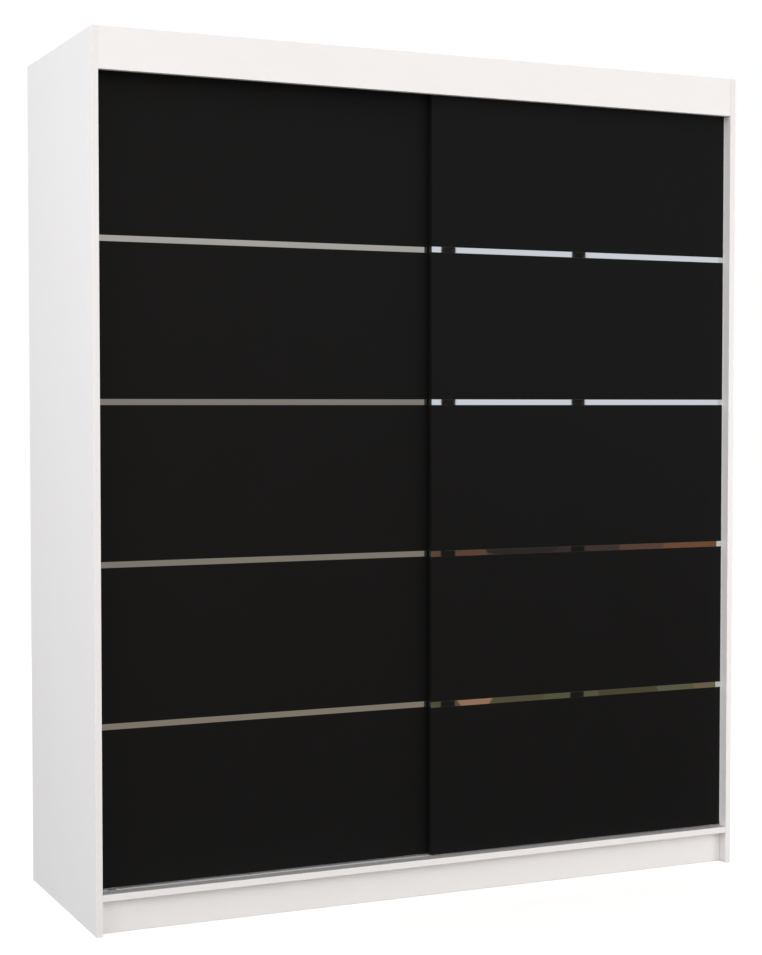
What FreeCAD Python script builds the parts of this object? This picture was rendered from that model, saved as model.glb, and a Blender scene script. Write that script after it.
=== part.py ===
import FreeCAD, Part
import os

# Two-door sliding wardrobe, in millimetres.
# X runs to the right, Y from the front to the back, Z up.
# The origin is on the floor, under the middle of the wardrobe.
# A "depth" is measured back from the plane of the front edges.

Vec = FreeCAD.Vector

# ---------------------------------------------------------------- driving dimensions
WIDTH = 1800.0
HEIGHT = 2145.0
DEPTH = 610.0
BOARD = 16.0                    # faced chipboard
SHEET = 3.0                     # fibreboard back
STRIP_FLANGE = 1.0              # how far the back's joining strip stands behind the sheets

FASCIA_HEIGHT = 100.0
PLINTH_HEIGHT = 83.0
PLINTH_SETBACK = 28.0
REAR_PLINTH_SETBACK = 45.0      # from the back edges of the sides

LANE_PITCH = 22.0               # between the two door lanes
FRONT_DOOR_FACE = 27.0          # depth of the front door's face
DOOR_WIDTH = 887.0
DOOR_SIDE_GAP = 2.5             # board edge to side board, filled by the brush
DOOR_LIFT = 4.0                 # door foot above the bottom board
DOOR_TRAVEL = 870.0
CLEAR = 0.3                     # least gap between pieces that move past each other

STRIP_HEIGHT = 15.0
STRIP_THICKNESS = 4.0
STRIP_SLACK = 0.1
STRIPS_PER_DOOR = 4

BRUSH_WIDTH = 6.7
BRUSH_FROM_FACE = 0.6
BRUSH_LIFT = 5.0                # brush's foot above the door's foot
BRUSH_BEHIND_FASCIA = 25.0

# lower track
TRACK_BASE = 1.2
RIDGE_HEIGHT = 1.7
RIDGE_WIDTH = 2.4
LOWER_TRACK_DEPTHS = (1.0, 71.0)
# upper track
UPPER_WEB = 1.5
UPPER_WALL = 1.5
UPPER_TRACK_HEIGHT = 26.0

# bottom rollers
WHEEL_TREAD_RADIUS = 9.5
WHEEL_FLANGE_RADIUS = 10.8
WHEEL_WIDTH = 6.0
WHEEL_GROOVE = 3.4
GROOVE_SLOPE = 0.5
AXLE_RADIUS = 2.0
WHEEL_BORE_SLACK = 0.05
WHEEL_FROM_EDGE = 40.0
HOUSING_LENGTH = 56.0
HOUSING_WIDTH = 10.0
HOUSING_HEIGHT = 32.0
WHEEL_SIDE_ROOM = 0.4           # wheel to housing, each side
WHEEL_RIM_ROOM = 1.5            # flange to housing, all round
AXLE_END_GAP = 0.2
HEIGHT_SCREW_RADIUS = 2.5
HEIGHT_SCREW_LENGTH = 14.0
HEIGHT_SCREW_RISE = 22.0        # above the door's foot
HEX_SOCKET = (1.2, 2.5)         # radius and depth of the key's hole

# top guide shoes
GUIDE_LENGTH = 45.0
GUIDE_WIDTH = 19.5
GUIDE_CAP = 6.0
GUIDE_CORNER = 3.0
GUIDE_PLUG = (30.0, 8.0, 12.0)
DOOR_INTO_TRACK = 12.0          # how far the door's head stands up into the upper track

STOP_LENGTH = 18.0
STOP_WIDTH = 12.0
STOP_REACH = 6.7                # wheel centre to the stop's near end

# inside fittings
PARTITION_FRONT = 76.0
SHELF_FRONT = 92.0
HAT_SHELF_Z = 1800.0
LOOSE_SHELF_ZS = (430.0, 770.0, 1110.0, 1450.0)
LOOSE_SHELF_SLACK = 1.0
RAIL_DROP = 70.0                # hat shelf to the rail's centre
RAIL_HEIGHT = 30.0
RAIL_WIDTH = 15.0
RAIL_WALL = 1.2
SHEET_JOINT_Z = 1100.0

PIN_RADIUS = 2.5
PIN_COLLAR_RADIUS = 3.5
PIN_INSET = 8.0
PIN_STANDOUT = 6.5
PIN_ROWS = (135.0, 560.0)
PIN_STEP = 32.0

# cam fittings and dowels: their depths along each joint
CAM_ROWS = (120.0, 330.0, 560.0)
DOWEL_ROWS = (200.0, 480.0)
HAT_CAM_ROWS = (160.0, 560.0)
HAT_LEFT_ROWS = (190.0, 530.0)      # into the partition, staggered with the right shelf's
HAT_RIGHT_ROWS = (225.0, 495.0)
PARTITION_CAM_ROWS = (135.0, 545.0)
PLINTH_DOWEL_INSET = 16.0
FASCIA_DOWEL_INSET = 20.0
CAM_RADIUS = 7.5
CAM_DEPTH = 12.5
CAM_FROM_END = 34.0
BOLT_RADIUS = 3.0
BOLT_THREAD_RADIUS = 2.5
BOLT_THREAD = 11.0
BOLT_NECK_RADIUS = 2.0
BOLT_NECK = 4.0
BOLT_HEAD = 4.0
BOLT_WAY = 0.5                  # how much wider than the bolt its hole is
CAM_CROSS = (10.0, 1.6, 1.5)    # length, width and depth of a driver recess
SCREW_CROSS = (4.0, 0.8, 1.2)
DOWEL_RADIUS = 4.0
DOWEL_IN_SIDE = 10.0
DOWEL_IN_END = 20.0
FIT_SLACK = 0.1

SCREW_SHANK_RADIUS = 1.7
SCREW_HEAD_RADIUS = 3.4
SCREW_LENGTH = 13.0
TRACK_SCREWS = 6

NAIL_RADIUS = 0.7
NAIL_HEAD_RADIUS = 1.7
NAIL_HEAD = 0.8
NAIL_LENGTH = 20.0
NAIL_PITCH = 190.0
NAIL_FROM_CORNER = 40.0
NAIL_FROM_JOINT = 12.0          # least distance from the joint between the sheets
NAIL_IN_SIDE = 6.0              # from the side board's inner face
NAIL_IN_PARTITION = 4.5         # from the partition's middle
BACK_INSET = 2.0                # sheet edges, in from the outside of the carcass
SHEET_GAP = 1.0
JOINT_STRIP_HEIGHT = 18.0

BRACKET_LEG = 40.0
BRACKET_WIDTH = 20.0
BRACKET_THICKNESS = 2.0
BRACKET_SCREW_REACH = 28.0      # forward of the boards' rear edges
BRACKET_X = 450.0
WALL_HOLE_RADIUS = 3.2
WALL_HOLE_DROP = 26.0

# ---------------------------------------------------------------- worked out from them
INNER_X = WIDTH / 2 - BOARD                     # inner face of a side board
BACK_FACE = DEPTH - STRIP_FLANGE                # depth of the sheets' rear face
CARCASS_DEPTH = BACK_FACE - SHEET               # depth of the boards' rear edges
FLOOR_Z = PLINTH_HEIGHT + BOARD                 # top of the bottom board
ROOF_Z = HEIGHT - BOARD                         # underside of the top board
FASCIA_Z = HEIGHT - FASCIA_HEIGHT
DOOR_FOOT = FLOOR_Z + DOOR_LIFT
DOOR_HEAD = ROOF_Z - UPPER_TRACK_HEIGHT + DOOR_INTO_TRACK
DOOR_EDGE_X = INNER_X - DOOR_SIDE_GAP           # closed door's board edge
FRONT_LANE = FRONT_DOOR_FACE + BOARD / 2
REAR_LANE = FRONT_LANE + LANE_PITCH
STRIP_PITCH = (FASCIA_Z - DOOR_FOOT) / (STRIPS_PER_DOOR + 1)
RIDGE_TOP = FLOOR_Z + TRACK_BASE + RIDGE_HEIGHT
WHEEL_Z = RIDGE_TOP + CLEAR + WHEEL_TREAD_RADIUS
RAIL_Z = HAT_SHELF_Z - RAIL_DROP
RAIL_DEPTH = (SHELF_FRONT + CARCASS_DEPTH) / 2
HALF_BOARD = BOARD / 2

# Each door: name, lane depth, the side it closes against (-1 left, +1 right).
DOORS = (("left_door", REAR_LANE, -1), ("right_door", FRONT_LANE, 1))


# ---------------------------------------------------------------- small helpers
def y_at(depth):
    """Y of a depth behind the front plane."""
    return depth - DEPTH / 2


def block(x, depth, z):
    """Box between pairs of limits along x, depth and z."""
    corner = Vec(x[0], y_at(depth[0]), z[0])
    return Part.makeBox(x[1] - x[0], depth[1] - depth[0], z[1] - z[0], corner)


def rod(radius, length, start, direction):
    """Cylinder from a start point (x, depth, z) along a direction."""
    return Part.makeCylinder(radius, length, Vec(start[0], y_at(start[1]), start[2]), direction)


def span(middle, size):
    """Pair of limits, size apart, about a middle."""
    return (middle - size / 2, middle + size / 2)


def ordered(a, b):
    return (min(a, b), max(a, b))


def spaced(low, high, count):
    """Evenly spaced values from low to high, both ends included."""
    return [low + (high - low) * i / (count - 1) for i in range(count)]


def cut_all(shape, tools):
    return shape.cut(tools) if tools else shape


def save(node, *solids):
    shape = solids[0] if len(solids) == 1 else Part.makeCompound(list(solids))
    shape.exportStep(f"parts/{node}.step")
    print(f"{node}: {len(shape.Solids)} solid(s), {shape.Volume / 1000:.1f} cm3, valid {shape.isValid()}")


# ---------------------------------------------------------------- how the boards are joined
# A fixing is (kind, holder, panel, point, into panel, towards the cam's face).
# The point is (x, depth, z) on the plane where the panel's end meets the holder.
X, Y, Z = Vec(1, 0, 0), Vec(0, 1, 0), Vec(0, 0, 1)


def list_fixings():
    fixings = []

    def add(kind, holder, panel, point, into, face=Z):
        fixings.append((kind, holder, panel, point, into, face))

    for side, end in (("side_left", -1), ("side_right", 1)):
        x = end * INNER_X
        into = X * -end
        for panel, z, face in (("bottom_board", FLOOR_Z - HALF_BOARD, -Z),
                               ("top_board", HEIGHT - HALF_BOARD, Z)):
            for depth in CAM_ROWS:
                add("cam", side, panel, (x, depth, z), into, face)
            for depth in DOWEL_ROWS:
                add("dowel", side, panel, (x, depth, z), into)
        shelf = "hat_shelf_left" if end < 0 else "hat_shelf_right"
        for depth in HAT_CAM_ROWS:
            add("cam", side, shelf, (x, depth, HAT_SHELF_Z + HALF_BOARD), into, -Z)
        for plinth, depth, face in (("front_plinth", PLINTH_SETBACK + HALF_BOARD, Y),
                                    ("rear_plinth", CARCASS_DEPTH - REAR_PLINTH_SETBACK - HALF_BOARD, -Y)):
            add("cam", side, plinth, (x, depth, PLINTH_HEIGHT / 2), into, face)
            for z in (PLINTH_DOWEL_INSET, PLINTH_HEIGHT - PLINTH_DOWEL_INSET):
                add("dowel", side, plinth, (x, depth, z), into)
        add("cam", side, "fascia", (x, HALF_BOARD, HEIGHT - FASCIA_HEIGHT / 2), into, Y)
        for z in (FASCIA_Z + FASCIA_DOWEL_INSET, HEIGHT - FASCIA_DOWEL_INSET):
            add("dowel", side, "fascia", (x, HALF_BOARD, z), into)

    for shelf, end, rows in (("hat_shelf_left", -1, HAT_LEFT_ROWS), ("hat_shelf_right", 1, HAT_RIGHT_ROWS)):
        for depth in rows:
            add("cam", "partition", shelf, (end * HALF_BOARD, depth, HAT_SHELF_Z + HALF_BOARD), X * end, -Z)

    for holder, z, into in (("bottom_board", FLOOR_Z, Z), ("top_board", ROOF_Z, -Z)):
        for depth in PARTITION_CAM_ROWS:
            add("cam", holder, "partition", (0, depth, z), into, -X)
        add("dowel", holder, "partition", (0, CAM_ROWS[1], z), into)

    for plinth, depth, into in (("front_plinth", PLINTH_SETBACK + BOARD, Y),
                                ("rear_plinth", CARCASS_DEPTH - REAR_PLINTH_SETBACK - BOARD, -Y)):
        for z in (PLINTH_DOWEL_INSET, PLINTH_HEIGHT - PLINTH_DOWEL_INSET):
            add("dowel", plinth, "plinth_rib", (0, depth, z), into)
    return fixings


def cam_bolt(point, into):
    """Threaded foot in the holder, shank in the panel, and a neck with a round head inside the cam."""
    foot = rod(BOLT_THREAD_RADIUS - FIT_SLACK / 2, BOLT_THREAD, point, -into)
    head_start = CAM_FROM_END - BOLT_HEAD + 1
    shank = rod(BOLT_RADIUS, head_start - BOLT_NECK, point, into)
    neck = rod(BOLT_NECK_RADIUS, head_start, point, into)
    head = rod(BOLT_RADIUS, BOLT_HEAD, shifted(point, into, head_start), into)
    return foot.fuse([shank, neck, head])


def cam(point, into, face):
    """Eccentric disc, let in from the panel's face, hollow where the bolt's head sits."""
    top = shifted(shifted(point, into, CAM_FROM_END), face, HALF_BOARD)
    disc = rod(CAM_RADIUS - FIT_SLACK, CAM_DEPTH - FIT_SLACK, top, -face)
    way = rod(BOLT_RADIUS + BOLT_WAY, CAM_FROM_END + BOLT_HEAD, point, into)
    return disc.cut([way] + driver_cross(top, face, CAM_CROSS))


def driver_cross(point, outward, size):
    """Two crossed cutters for a screwdriver's recess, centred on a point of the outer face."""
    length, width, depth = size
    cutters = []
    centre = Vec(point[0], y_at(point[1]), point[2])
    for along in [axis for axis in (X, Y, Z) if abs(axis.dot(outward)) < 0.5]:
        across = outward.cross(along)
        corner = centre - outward * depth - along * (length / 2) - across * (width / 2)
        corners = [corner, corner + along * length, corner + along * length + across * width,
                   corner + across * width]
        floor = Part.Face(Part.makePolygon(corners + corners[:1]))
        cutters.append(floor.extrude(outward * (depth + 1)))
    return cutters


def dowel(point, into):
    start = shifted(point, into, -DOWEL_IN_SIDE)
    return rod(DOWEL_RADIUS - FIT_SLACK, DOWEL_IN_SIDE + DOWEL_IN_END, start, into)


def shifted(point, direction, distance):
    """The point (x, depth, z), moved along a direction."""
    return (point[0] + direction.x * distance, point[1] + direction.y * distance,
            point[2] + direction.z * distance)


FIXINGS = list_fixings()


def fixing_holes(node):
    """Every hole that the cams, bolts and dowels need in one board."""
    holes = []
    for kind, holder, panel, point, into, face in FIXINGS:
        if kind == "cam" and node == holder:
            holes.append(rod(BOLT_THREAD_RADIUS, BOLT_THREAD + 0.5, point, -into))
        if kind == "cam" and node == panel:
            middle = shifted(point, into, CAM_FROM_END)
            holes.append(rod(BOLT_RADIUS + BOLT_WAY, CAM_FROM_END, point, into))
            holes.append(rod(CAM_RADIUS, CAM_DEPTH, shifted(middle, face, HALF_BOARD), -face))
        if kind == "dowel" and node == holder:
            holes.append(rod(DOWEL_RADIUS, DOWEL_IN_SIDE + 1, point, -into))
        if kind == "dowel" and node == panel:
            holes.append(rod(DOWEL_RADIUS, DOWEL_IN_END + 1, point, into))
    return holes


def make_fixings():
    cams = [f for f in FIXINGS if f[0] == "cam"]
    save("cam_locks", *[cam(f[3], f[4], f[5]) for f in cams])
    save("cam_bolts", *[cam_bolt(f[3], f[4]) for f in cams])
    save("dowels", *[dowel(f[3], f[4]) for f in FIXINGS if f[0] == "dowel"])


# ---------------------------------------------------------------- nails that hold the back
def nail_places():
    """(x, z) of every nail: round the edge of each sheet, into the boards behind it."""
    places = []
    rises = spaced(FLOOR_Z + NAIL_FROM_CORNER, ROOF_Z - NAIL_FROM_CORNER,
                   round((ROOF_Z - FLOOR_Z) / NAIL_PITCH) + 1)
    rises = [z for z in rises if abs(z - SHEET_JOINT_Z) > NAIL_FROM_JOINT]
    for x in (-INNER_X - NAIL_IN_SIDE, -NAIL_IN_PARTITION, NAIL_IN_PARTITION, INNER_X + NAIL_IN_SIDE):
        places += [(x, z) for z in rises]
    runs = spaced(2 * NAIL_FROM_CORNER, INNER_X - NAIL_FROM_CORNER, round(INNER_X / NAIL_PITCH) + 1)
    for z in (FLOOR_Z - HALF_BOARD, ROOF_Z + HALF_BOARD):
        places += [(end * x, z) for end in (-1, 1) for x in runs]
    return places


def nail(x, z):
    head = rod(NAIL_HEAD_RADIUS, NAIL_HEAD, (x, BACK_FACE - NAIL_HEAD, z), Y)
    return head.fuse(rod(NAIL_RADIUS, NAIL_LENGTH, (x, BACK_FACE - NAIL_LENGTH, z), Y))


def nail_holes(x, z):
    """The nail holes that fall within the limits of a board's rear edge."""
    return [rod(NAIL_RADIUS, NAIL_LENGTH, (px, BACK_FACE - NAIL_LENGTH, pz), Y)
            for px, pz in nail_places() if x[0] < px < x[1] and z[0] < pz < z[1]]


# ---------------------------------------------------------------- carcass boards
def make_sides():
    for node, end in (("side_left", -1), ("side_right", 1)):
        x = ordered(end * INNER_X, end * WIDTH / 2)
        side = block(x, (0, CARCASS_DEPTH), (0, HEIGHT))
        holes = fixing_holes(node) + nail_holes(x, (0, HEIGHT))
        if end < 0:
            holes += socket_screw_holes(-1)
        else:
            holes += pin_holes(INNER_X, X)
        save(node, cut_all(side, holes))


def make_bottom_and_top():
    x = (-INNER_X, INNER_X)
    bottom = block(x, (0, CARCASS_DEPTH), (PLINTH_HEIGHT, FLOOR_Z))
    holes = fixing_holes("bottom_board") + nail_holes(x, (PLINTH_HEIGHT, FLOOR_Z))
    holes += lower_track_fixings(screw_seat)
    save("bottom_board", cut_all(bottom, holes))

    top = block(x, (BOARD, CARCASS_DEPTH), (ROOF_Z, HEIGHT))
    holes = fixing_holes("top_board") + nail_holes(x, (ROOF_Z, HEIGHT))
    holes += [rod(SCREW_SHANK_RADIUS, SCREW_LENGTH, (px, lane, ROOF_Z), Z)
              for px in track_screw_xs() for lane in (FRONT_LANE, REAR_LANE)]
    holes += [rod(SCREW_SHANK_RADIUS, SCREW_LENGTH, (px, bracket_screw_depth(), ROOF_Z), Z)
              for px in (-BRACKET_X, BRACKET_X)]
    save("top_board", cut_all(top, holes))


def make_fascia():
    fascia = block((-INNER_X, INNER_X), (0, BOARD), (FASCIA_Z, HEIGHT))
    save("fascia", cut_all(fascia, fixing_holes("fascia")))


def make_plinths():
    rear_depth = CARCASS_DEPTH - REAR_PLINTH_SETBACK
    front = block((-INNER_X, INNER_X), (PLINTH_SETBACK, PLINTH_SETBACK + BOARD), (0, PLINTH_HEIGHT))
    rear = block((-INNER_X, INNER_X), (rear_depth - BOARD, rear_depth), (0, PLINTH_HEIGHT))
    rib = block((-HALF_BOARD, HALF_BOARD), (PLINTH_SETBACK + BOARD, rear_depth - BOARD), (0, PLINTH_HEIGHT))
    for node, board in (("front_plinth", front), ("rear_plinth", rear), ("plinth_rib", rib)):
        save(node, cut_all(board, fixing_holes(node)))


def make_partition():
    x = (-HALF_BOARD, HALF_BOARD)
    board = block(x, (PARTITION_FRONT, CARCASS_DEPTH), (FLOOR_Z, ROOF_Z))
    holes = fixing_holes("partition") + nail_holes(x, (FLOOR_Z, ROOF_Z))
    holes += pin_holes(HALF_BOARD, -X) + socket_screw_holes(1)
    save("partition", cut_all(board, holes))


# ---------------------------------------------------------------- shelves
def make_hat_shelves():
    for node, x in (("hat_shelf_left", (-INNER_X, -HALF_BOARD)), ("hat_shelf_right", (HALF_BOARD, INNER_X))):
        shelf = block(x, (SHELF_FRONT, CARCASS_DEPTH), (HAT_SHELF_Z, HAT_SHELF_Z + BOARD))
        save(node, cut_all(shelf, fixing_holes(node)))


def make_loose_shelves():
    x = (HALF_BOARD + LOOSE_SHELF_SLACK, INNER_X - LOOSE_SHELF_SLACK)
    for number, z in enumerate(LOOSE_SHELF_ZS, 1):
        save(f"loose_shelf_{number}", block(x, (SHELF_FRONT, CARCASS_DEPTH - 2), (z, z + BOARD)))


def pin_holes(x, direction):
    """Rows of shelf pin holes at each loose shelf: one in use, one above and one below."""
    return [rod(PIN_RADIUS, PIN_INSET + 1, (x, depth, z - PIN_COLLAR_RADIUS + step), direction)
            for z in LOOSE_SHELF_ZS for depth in PIN_ROWS for step in (-PIN_STEP, 0, PIN_STEP)]


def make_shelf_pins():
    pins = []
    for x, direction in ((HALF_BOARD, -X), (INNER_X, X)):
        for z in LOOSE_SHELF_ZS:
            for depth in PIN_ROWS:
                start = (x, depth, z - PIN_COLLAR_RADIUS)
                stem = rod(PIN_RADIUS, PIN_INSET, start, direction)
                pins.append(stem.fuse(rod(PIN_COLLAR_RADIUS, PIN_STANDOUT, start, -direction)))
    save("shelf_pins", *pins)


# ---------------------------------------------------------------- hanging rail
SOCKET_PLATE = 3.0
SOCKET_RIM = 3.0
SOCKET_REACH = 13.0
SOCKET_HALF_HEIGHT = 30.0
SOCKET_SCREW_RISE = 24.0


def oval(x, height, width):
    """Upright rounded bar along x: a box with half-round top and bottom, about the rail's centre."""
    radius = width / 2
    straight = height / 2 - radius
    bar = block(x, span(RAIL_DEPTH, width), (RAIL_Z - straight, RAIL_Z + straight))
    ends = [rod(radius, x[1] - x[0], (x[0], RAIL_DEPTH, RAIL_Z + s * straight), X) for s in (-1, 1)]
    return bar.fuse(ends).removeSplitter()


def make_hanging_rail():
    x = (-INNER_X + SOCKET_PLATE + 0.5, -HALF_BOARD - SOCKET_PLATE - 0.5)
    bore = oval((x[0] - 1, x[1] + 1), RAIL_HEIGHT - 2 * RAIL_WALL, RAIL_WIDTH - 2 * RAIL_WALL)
    save("hanging_rail", oval(x, RAIL_HEIGHT, RAIL_WIDTH).cut(bore))


def socket_face(end):
    """X of the board face that a rail socket is screwed to: -1 the side, +1 the partition."""
    return -INNER_X if end < 0 else -HALF_BOARD


def socket_screw_holes(end):
    return [rod(SCREW_SHANK_RADIUS, SCREW_LENGTH, (socket_face(end), RAIL_DEPTH, RAIL_Z + rise), X * end)
            for rise in (-SOCKET_SCREW_RISE, SOCKET_SCREW_RISE)]


def make_rail_sockets():
    """Oval plates with a deep rim, open at the top, that the rail drops into."""
    sockets, screws = [], []
    for end in (-1, 1):
        x = socket_face(end)
        plate = oval(ordered(x, x - end * SOCKET_PLATE), 2 * SOCKET_HALF_HEIGHT, RAIL_WIDTH + 2 * SOCKET_RIM)
        rim_x = ordered(x, x - end * SOCKET_REACH)
        rim = oval(rim_x, RAIL_HEIGHT + 2 * SOCKET_RIM, RAIL_WIDTH + 2 * SOCKET_RIM)
        cup = ordered(x - end * SOCKET_PLATE, x - end * (SOCKET_REACH + 1))
        hollow = oval(cup, RAIL_HEIGHT + 2 * FIT_SLACK, RAIL_WIDTH + 2 * FIT_SLACK)
        half = RAIL_WIDTH / 2 + FIT_SLACK
        mouth = block(cup, (RAIL_DEPTH - half, RAIL_DEPTH + half), (RAIL_Z, RAIL_Z + RAIL_HEIGHT))
        holes = []
        for rise in (-SOCKET_SCREW_RISE, SOCKET_SCREW_RISE):
            head = (x - end * SOCKET_PLATE, RAIL_DEPTH, RAIL_Z + rise)
            screws.append(screw(head, X * end, SOCKET_PLATE + SCREW_LENGTH - 2))
            holes.append(screw_seat(head, X * end, SOCKET_PLATE + 1))
        sockets.append(plate.fuse(rim).cut([hollow, mouth] + holes))
    save("rail_sockets", *sockets)
    save("rail_socket_screws", *screws)


def screw_seat(point, direction, length):
    """Cutter for a countersunk screw whose head ends flush at the point."""
    start = Vec(point[0], y_at(point[1]), point[2])
    head = Part.makeCone(SCREW_HEAD_RADIUS, SCREW_SHANK_RADIUS, SCREW_HEAD_RADIUS - SCREW_SHANK_RADIUS,
                         start, direction)
    return head.fuse(Part.makeCylinder(SCREW_SHANK_RADIUS, length, start, direction))


def screw(point, direction, length):
    """Countersunk screw in that seat, with a cross recess."""
    return screw_seat(point, direction, length).cut(driver_cross(point, -direction, SCREW_CROSS))


# ---------------------------------------------------------------- back
def make_back_sheets():
    half_gap = SHEET_GAP / 2
    edge = WIDTH / 2 - BACK_INSET
    top = HEIGHT - BACK_INSET
    lower = (PLINTH_HEIGHT + BACK_INSET, SHEET_JOINT_Z - half_gap)
    upper = (SHEET_JOINT_Z + half_gap, top)
    for side, x in (("left", (-edge, -half_gap)), ("right", (half_gap, edge))):
        for level, z in (("lower", lower), ("upper", upper)):
            sheet = block(x, (CARCASS_DEPTH, BACK_FACE), z)
            holes = [nail(px, pz) for px, pz in nail_places() if x[0] < px < x[1] and z[0] < pz < z[1]]
            holes += [wall_hole(px) for px in (-BRACKET_X, BRACKET_X) if x[0] < px < x[1] and z[1] == top]
            save(f"back_sheet_{side}_{level}", cut_all(sheet, holes))
    save("back_nails", *[nail(px, pz) for px, pz in nail_places()])


def make_joint_strips():
    """H-section strips that hold the sheets' edges between the boards."""
    strips = []
    flange_z = span(SHEET_JOINT_Z, JOINT_STRIP_HEIGHT)
    for x in ((-INNER_X + 1, -HALF_BOARD - 1), (HALF_BOARD + 1, INNER_X - 1)):
        front = block(x, (CARCASS_DEPTH - STRIP_FLANGE, CARCASS_DEPTH), flange_z)
        web = block(x, (CARCASS_DEPTH, BACK_FACE), span(SHEET_JOINT_Z, SHEET_GAP))
        back = block(x, (BACK_FACE, DEPTH), flange_z)
        strips.append(front.fuse([web, back]))
    save("back_joint_strips", *strips)


# ---------------------------------------------------------------- wall brackets
def bracket_screw_depth():
    return CARCASS_DEPTH - BRACKET_SCREW_REACH


def wall_hole(x):
    start = (x, CARCASS_DEPTH - BRACKET_THICKNESS - 1, ROOF_Z - WALL_HOLE_DROP)
    return rod(WALL_HOLE_RADIUS, BRACKET_THICKNESS + SHEET + 2, start, Y)


def make_wall_brackets():
    brackets, screws = [], []
    for x in (-BRACKET_X, BRACKET_X):
        under = block(span(x, BRACKET_WIDTH), (CARCASS_DEPTH - BRACKET_LEG, CARCASS_DEPTH),
                      (ROOF_Z - BRACKET_THICKNESS, ROOF_Z))
        back = block(span(x, BRACKET_WIDTH), (CARCASS_DEPTH - BRACKET_THICKNESS, CARCASS_DEPTH),
                     (ROOF_Z - BRACKET_LEG, ROOF_Z))
        head = (x, bracket_screw_depth(), ROOF_Z - BRACKET_THICKNESS)
        seat = screw_seat(head, Z, BRACKET_THICKNESS + 1)
        brackets.append(under.fuse(back).removeSplitter().cut([wall_hole(x), seat]))
        screws.append(screw(head, Z, SCREW_LENGTH))
    save("wall_brackets", *brackets)
    save("wall_bracket_screws", *screws)


# ---------------------------------------------------------------- tracks
LOWER_SCREW_DEPTH = (FRONT_LANE + REAR_LANE) / 2


def track_screw_xs():
    return spaced(-INNER_X + 60, INNER_X - 60, TRACK_SCREWS)


def make_lower_track():
    """Flat extrusion with one round-topped ridge under each lane."""
    front, back = LOWER_TRACK_DEPTHS
    x = (-INNER_X, INNER_X)
    base_z = FLOOR_Z + TRACK_BASE
    track = block(x, (front, back), (FLOOR_Z, base_z))
    radius = RIDGE_WIDTH / 2
    ridges = []
    for lane in (FRONT_LANE, REAR_LANE):
        ridges.append(block(x, span(lane, RIDGE_WIDTH), (FLOOR_Z, RIDGE_TOP - radius)))
        ridges.append(rod(radius, x[1] - x[0], (x[0], lane, RIDGE_TOP - radius), X))
    lip = block(x, (back - TRACK_BASE, back), (FLOOR_Z, base_z + RIDGE_HEIGHT))
    save("lower_track", track.fuse(ridges + [lip]).removeSplitter().cut(lower_track_fixings(screw_seat)))


def make_upper_track():
    """E-section extrusion, open downwards, one channel for each lane."""
    x = (-INNER_X, INNER_X)
    foot = ROOF_Z - UPPER_TRACK_HEIGHT
    middle = (FRONT_LANE + REAR_LANE) / 2
    walls = [middle - LANE_PITCH, middle, middle + LANE_PITCH]
    web_depths = (walls[0] - UPPER_WALL / 2, walls[2] + UPPER_WALL / 2)
    web = block(x, web_depths, (ROOF_Z - UPPER_WEB, ROOF_Z))
    legs = [block(x, span(wall, UPPER_WALL), (foot, ROOF_Z)) for wall in walls]
    holes = [rod(SCREW_SHANK_RADIUS, UPPER_WEB + 2, (px, lane, ROOF_Z - UPPER_WEB - 1), Z)
             for px in track_screw_xs() for lane in (FRONT_LANE, REAR_LANE)]
    save("upper_track", web.fuse(legs).removeSplitter().cut(holes))


def lower_track_fixings(make):
    """The lower track's screws, or the seats they need, by the function that makes one."""
    return [make((px, LOWER_SCREW_DEPTH, FLOOR_Z + TRACK_BASE), -Z, SCREW_LENGTH)
            for px in track_screw_xs()]


def make_track_screws():
    upper = []
    for px in track_screw_xs():
        for lane in (FRONT_LANE, REAR_LANE):
            seat = ROOF_Z - UPPER_WEB
            head = rod(SCREW_HEAD_RADIUS, 2.0, (px, lane, seat - 2), Z)
            shank = rod(SCREW_SHANK_RADIUS, SCREW_LENGTH, (px, lane, seat - 2), Z)
            upper.append(head.fuse(shank).cut(driver_cross((px, lane, seat - 2), -Z, SCREW_CROSS)))
    save("track_screws", *(lower_track_fixings(screw) + upper))


def make_track_stops():
    """Small saddles over the ridges; a wheel meets one when its door is shut or fully open."""
    stops = []
    top = DOOR_FOOT - CLEAR
    for _, lane, end in DOORS:
        closed_wheel = end * (DOOR_EDGE_X - WHEEL_FROM_EDGE)
        open_wheel = end * (DOOR_EDGE_X - DOOR_WIDTH + WHEEL_FROM_EDGE - DOOR_TRAVEL)
        for wheel_x, way in ((closed_wheel, end), (open_wheel, -end)):
            near = wheel_x + way * STOP_REACH
            x = ordered(near, near + way * STOP_LENGTH)
            body = block(x, span(lane, STOP_WIDTH), (FLOOR_Z + TRACK_BASE, top))
            slot_x = (x[0] - 1, x[1] + 1)
            slot = block(slot_x, span(lane, RIDGE_WIDTH + 0.4), (FLOOR_Z, RIDGE_TOP + FIT_SLACK))
            stops.append(body.cut(slot))
    save("track_stops", *stops)


# ---------------------------------------------------------------- doors
def door_x(end):
    """Left and right edges of a closed door's board."""
    return ordered(end * DOOR_EDGE_X, end * (DOOR_EDGE_X - DOOR_WIDTH))


def wheel_xs(x):
    return (x[0] + WHEEL_FROM_EDGE, x[1] - WHEEL_FROM_EDGE)


def strip_zs():
    return [DOOR_FOOT + STRIP_PITCH * i for i in range(1, STRIPS_PER_DOOR + 1)]


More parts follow.
